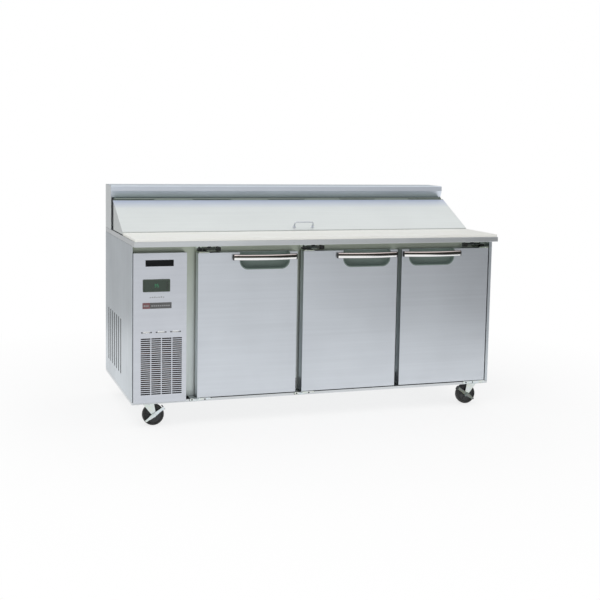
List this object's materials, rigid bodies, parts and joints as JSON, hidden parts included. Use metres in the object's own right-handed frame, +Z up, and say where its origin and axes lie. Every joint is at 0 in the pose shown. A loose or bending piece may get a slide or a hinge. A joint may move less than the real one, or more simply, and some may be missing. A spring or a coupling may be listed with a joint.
{
  "type": "sandwich prep table",
  "caption": "Refrigerated stainless prep table on casters: insulated doors, cutting board, gastronorm pan well under a sloping hinged lid, hood rail and a machine compartment.",
  "frame": {"origin": "on the floor, under the middle of the bounding box", "axes": "+X along the front towards the right-hand door, +Y from the doors to the back panel, +Z up"},
  "size_m": [1.8, 0.813, 1.078],
  "materials": {
    "stainless_steel": "brushed, satin",
    "lining_steel": "satin steel skin over foam",
    "frame_steel": "satin, shaded",
    "pan_steel": "satin",
    "display_plastic": "gloss",
    "board_plastic": "matte, fine texture",
    "chrome": "polished",
    "gasket_rubber": "matte",
    "cup_plastic": "satin",
    "zinc_plate": "bright zinc plated",
    "wheel_rubber": "matte",
    "wire": "coated wire",
    "condenser_metal": "copper tube and dull fins",
    "coil_aluminium": "satin fins",
    "black_enamel": "satin black"
  },
  "bodies": {
    "cabinet": {"back_panel": "stainless_steel", "base_pan": "stainless_steel", "caster_fl_plate": "zinc_plate", "caster_fr_plate": "zinc_plate", "caster_rl_plate": "zinc_plate", "caster_rr_plate": "zinc_plate", "compressor": "black_enamel", "condenser": "condenser_metal", "controller": "display_plastic", "evaporator": "coil_aluminium", "front_frame": "frame_steel", "hood": "stainless_steel", "insulated_liner": "lining_steel", "lid_hinge": "zinc_plate", "lower_hinge_1": "zinc_plate", "lower_hinge_2": "zinc_plate", "lower_hinge_3": "zinc_plate", "machine_front_panel": "stainless_steel", "pan_1": "pan_steel", "pan_2": "pan_steel", "pan_3": "pan_steel", "rear_housing": "stainless_steel", "shelf_1": "wire", "shelf_2": "wire", "shelf_3": "wire", "side_panel_left": "stainless_steel", "side_panel_right": "stainless_steel", "upper_hinge_1": "zinc_plate", "upper_hinge_2": "zinc_plate", "upper_hinge_3": "zinc_plate", "worktop": "stainless_steel"},
    "board": {"cutting_board": "board_plastic"},
    "lid": {"lid": "stainless_steel", "lid_handle": "chrome"},
    "door_1": {"door_1_skin": "stainless_steel", "door_1_liner": "lining_steel", "door_1_gasket": "gasket_rubber", "door_1_cup": "cup_plastic", "door_1_handle": "chrome"},
    "door_2": {"door_2_skin": "stainless_steel", "door_2_liner": "lining_steel", "door_2_gasket": "gasket_rubber", "door_2_cup": "cup_plastic", "door_2_handle": "chrome"},
    "door_3": {"door_3_skin": "stainless_steel", "door_3_liner": "lining_steel", "door_3_gasket": "gasket_rubber", "door_3_cup": "cup_plastic", "door_3_handle": "chrome"},
    "swivel_fl": {"caster_fl_fork": "zinc_plate"},
    "wheel_fl": {"caster_fl_wheel": "wheel_rubber"},
    "brake_fl": {"caster_fl_brake": "zinc_plate"},
    "swivel_fr": {"caster_fr_fork": "zinc_plate"},
    "wheel_fr": {"caster_fr_wheel": "wheel_rubber"},
    "brake_fr": {"caster_fr_brake": "zinc_plate"},
    "swivel_rl": {"caster_rl_fork": "zinc_plate"},
    "wheel_rl": {"caster_rl_wheel": "wheel_rubber"},
    "swivel_rr": {"caster_rr_fork": "zinc_plate"},
    "wheel_rr": {"caster_rr_wheel": "wheel_rubber"},
    "fan": {"condenser_fan": "black_enamel"}
  },
  "joints": [
    {"name": "board_lift", "type": "slide", "parent": "cabinet", "child": "board", "axis": [0, 0, 1], "range_m": [0, 0.12]},
    {"name": "lid_hinge", "type": "hinge", "parent": "cabinet", "child": "lid", "pos_m": [0, 0.2115, 1.012], "axis": [-1, 0, 0], "range_deg": [0, 120]},
    {"name": "door_1_hinge", "type": "hinge", "parent": "cabinet", "child": "door_1", "pos_m": [-0.586, -0.3405, 0.466], "axis": [0, 0, -1], "range_deg": [0, 110]},
    {"name": "door_2_hinge", "type": "hinge", "parent": "cabinet", "child": "door_2", "pos_m": [-0.079, -0.3405, 0.466], "axis": [0, 0, -1], "range_deg": [0, 110]},
    {"name": "door_3_hinge", "type": "hinge", "parent": "cabinet", "child": "door_3", "pos_m": [0.869, -0.3405, 0.466], "axis": [0, 0, 1], "range_deg": [0, 110]},
    {"name": "caster_fl_swivel", "type": "hinge", "parent": "cabinet", "child": "swivel_fl", "pos_m": [-0.814, -0.2765, 0.104], "axis": [0, 0, 1], "continuous": true},
    {"name": "caster_fl_roll", "type": "hinge", "parent": "swivel_fl", "child": "wheel_fl", "pos_m": [-0.789, -0.2765, 0.05], "axis": [0, 1, 0], "continuous": true},
    {"name": "caster_fl_brake", "type": "hinge", "parent": "swivel_fl", "child": "brake_fl", "pos_m": [-0.789, -0.2765, 0.05], "axis": [0, 1, 0], "range_deg": [0, 18]},
    {"name": "caster_fr_swivel", "type": "hinge", "parent": "cabinet", "child": "swivel_fr", "pos_m": [0.84, -0.2765, 0.104], "axis": [0, 0, 1], "continuous": true},
    {"name": "caster_fr_roll", "type": "hinge", "parent": "swivel_fr", "child": "wheel_fr", "pos_m": [0.815, -0.2765, 0.05], "axis": [0, 1, 0], "continuous": true},
    {"name": "caster_fr_brake", "type": "hinge", "parent": "swivel_fr", "child": "brake_fr", "pos_m": [0.815, -0.2765, 0.05], "axis": [0, -1, 0], "range_deg": [0, 18]},
    {"name": "caster_rl_swivel", "type": "hinge", "parent": "cabinet", "child": "swivel_rl", "pos_m": [-0.814, 0.3345, 0.104], "axis": [0, 0, 1], "continuous": true},
    {"name": "caster_rl_roll", "type": "hinge", "parent": "swivel_rl", "child": "wheel_rl", "pos_m": [-0.789, 0.3345, 0.05], "axis": [0, 1, 0], "continuous": true},
    {"name": "caster_rr_swivel", "type": "hinge", "parent": "cabinet", "child": "swivel_rr", "pos_m": [0.84, 0.3345, 0.104], "axis": [0, 0, 1], "continuous": true},
    {"name": "caster_rr_roll", "type": "hinge", "parent": "swivel_rr", "child": "wheel_rr", "pos_m": [0.815, 0.3345, 0.05], "axis": [0, 1, 0], "continuous": true},
    {"name": "condenser_fan_spin", "type": "hinge", "parent": "cabinet", "child": "fan", "pos_m": [-0.7675, -0.2395, 0.29], "axis": [0, 1, 0], "continuous": true}
  ]
}
